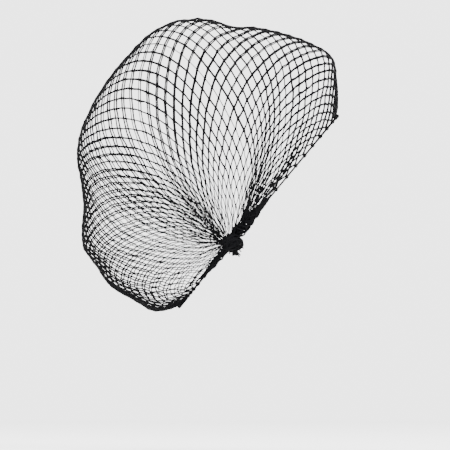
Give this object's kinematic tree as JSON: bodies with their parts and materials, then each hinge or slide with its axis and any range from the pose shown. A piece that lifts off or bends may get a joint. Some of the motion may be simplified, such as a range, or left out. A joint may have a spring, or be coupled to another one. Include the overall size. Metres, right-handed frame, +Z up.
{
  "type": "hairnet",
  "caption": "Black knitted hairnet, a diamond-mesh bag gathered into a knot over each ear and held by a thin elastic edge, in its worn form.",
  "frame": {"origin": "the middle of the opening, halfway between the two side knots, where the net sits on the head over the ears", "axes": "+Z up, -Y the way the wearer looks, +X the wearer's left"},
  "size_m": [0.1742, 0.2082, 0.2334],
  "materials": {
    "netting": "matte spun nylon yarn",
    "elastic": "matte covered elastic"
  },
  "bodies": {
    "root": {"net_body": "netting", "edge_elastic": "elastic", "side_knot_left": "netting", "side_knot_right": "netting"}
  },
  "joints": []
}
